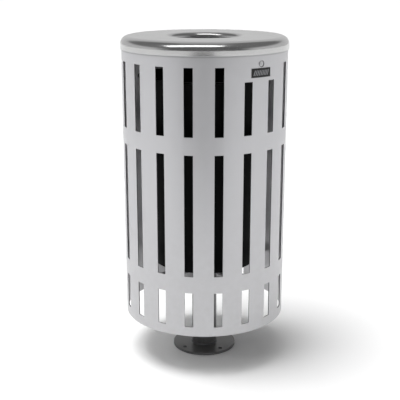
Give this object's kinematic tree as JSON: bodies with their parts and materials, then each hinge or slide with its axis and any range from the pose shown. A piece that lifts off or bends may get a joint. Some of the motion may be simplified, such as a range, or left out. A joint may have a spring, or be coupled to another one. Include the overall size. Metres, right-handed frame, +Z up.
{
  "type": "litter bin",
  "caption": "Round slotted steel litter bin on a post, with a hinged, key-locked lid that has a rolled round mouth, and a lift-out liner.",
  "frame": {"origin": "on the ground at the middle of the foot plate's underside, under the post's axis", "axes": "+Z up along the post, the body and the mouth; -Y is the front, the lock side; the lid's hinge is at the back, towards +Y"},
  "size_m": [0.486, 0.4988, 0.961],
  "materials": {
    "body_paint": "satin silver-grey powder coat",
    "pedestal_paint": "satin grey powder coat",
    "lid_steel": "satin stainless steel",
    "fixings": "plain zinc-plated steel",
    "lock_chrome": "satin chrome",
    "plate_black": "satin black, blank",
    "buffer_rubber": "matt black",
    "liner_black": "matt black coating"
  },
  "bodies": {
    "base": {"foot_plate": "pedestal_paint", "post": "pedestal_paint", "liner_seat": "pedestal_paint", "carrier_arms": "pedestal_paint", "arm_brackets": "body_paint", "arm_bolts": "fixings", "arm_nuts": "fixings", "shell": "body_paint", "top_ring": "body_paint", "shell_hinge_leaf": "body_paint", "hinge_rivets": "fixings", "hinge_pin": "fixings", "lid_buffers": "buffer_rubber", "lock_barrel": "lock_chrome", "lock_nut": "fixings", "name_plate": "plate_black"},
    "lid": {"lid": "lid_steel", "lid_hinge_leaf": "lid_steel", "lid_strike": "lid_steel"},
    "lock_rotor": {"lock_plug": "lock_chrome", "lock_cam": "fixings", "cam_screw": "fixings"},
    "liner": {"liner": "liner_black"}
  },
  "joints": [
    {"name": "lid_hinge", "type": "hinge", "parent": "base", "child": "lid", "pos_m": [0, 0.2498, 0.924], "axis": [-1, 0, 0], "range_deg": [0, 100]},
    {"name": "lock_turn", "type": "hinge", "parent": "base", "child": "lock_rotor", "pos_m": [0, -0.23, 0.899], "axis": [0, 1, 0], "range_deg": [0, 90]},
    {"name": "liner_lift", "type": "slide", "parent": "base", "child": "liner", "axis": [0, 0, 1], "range_m": [0, 0.1]}
  ]
}
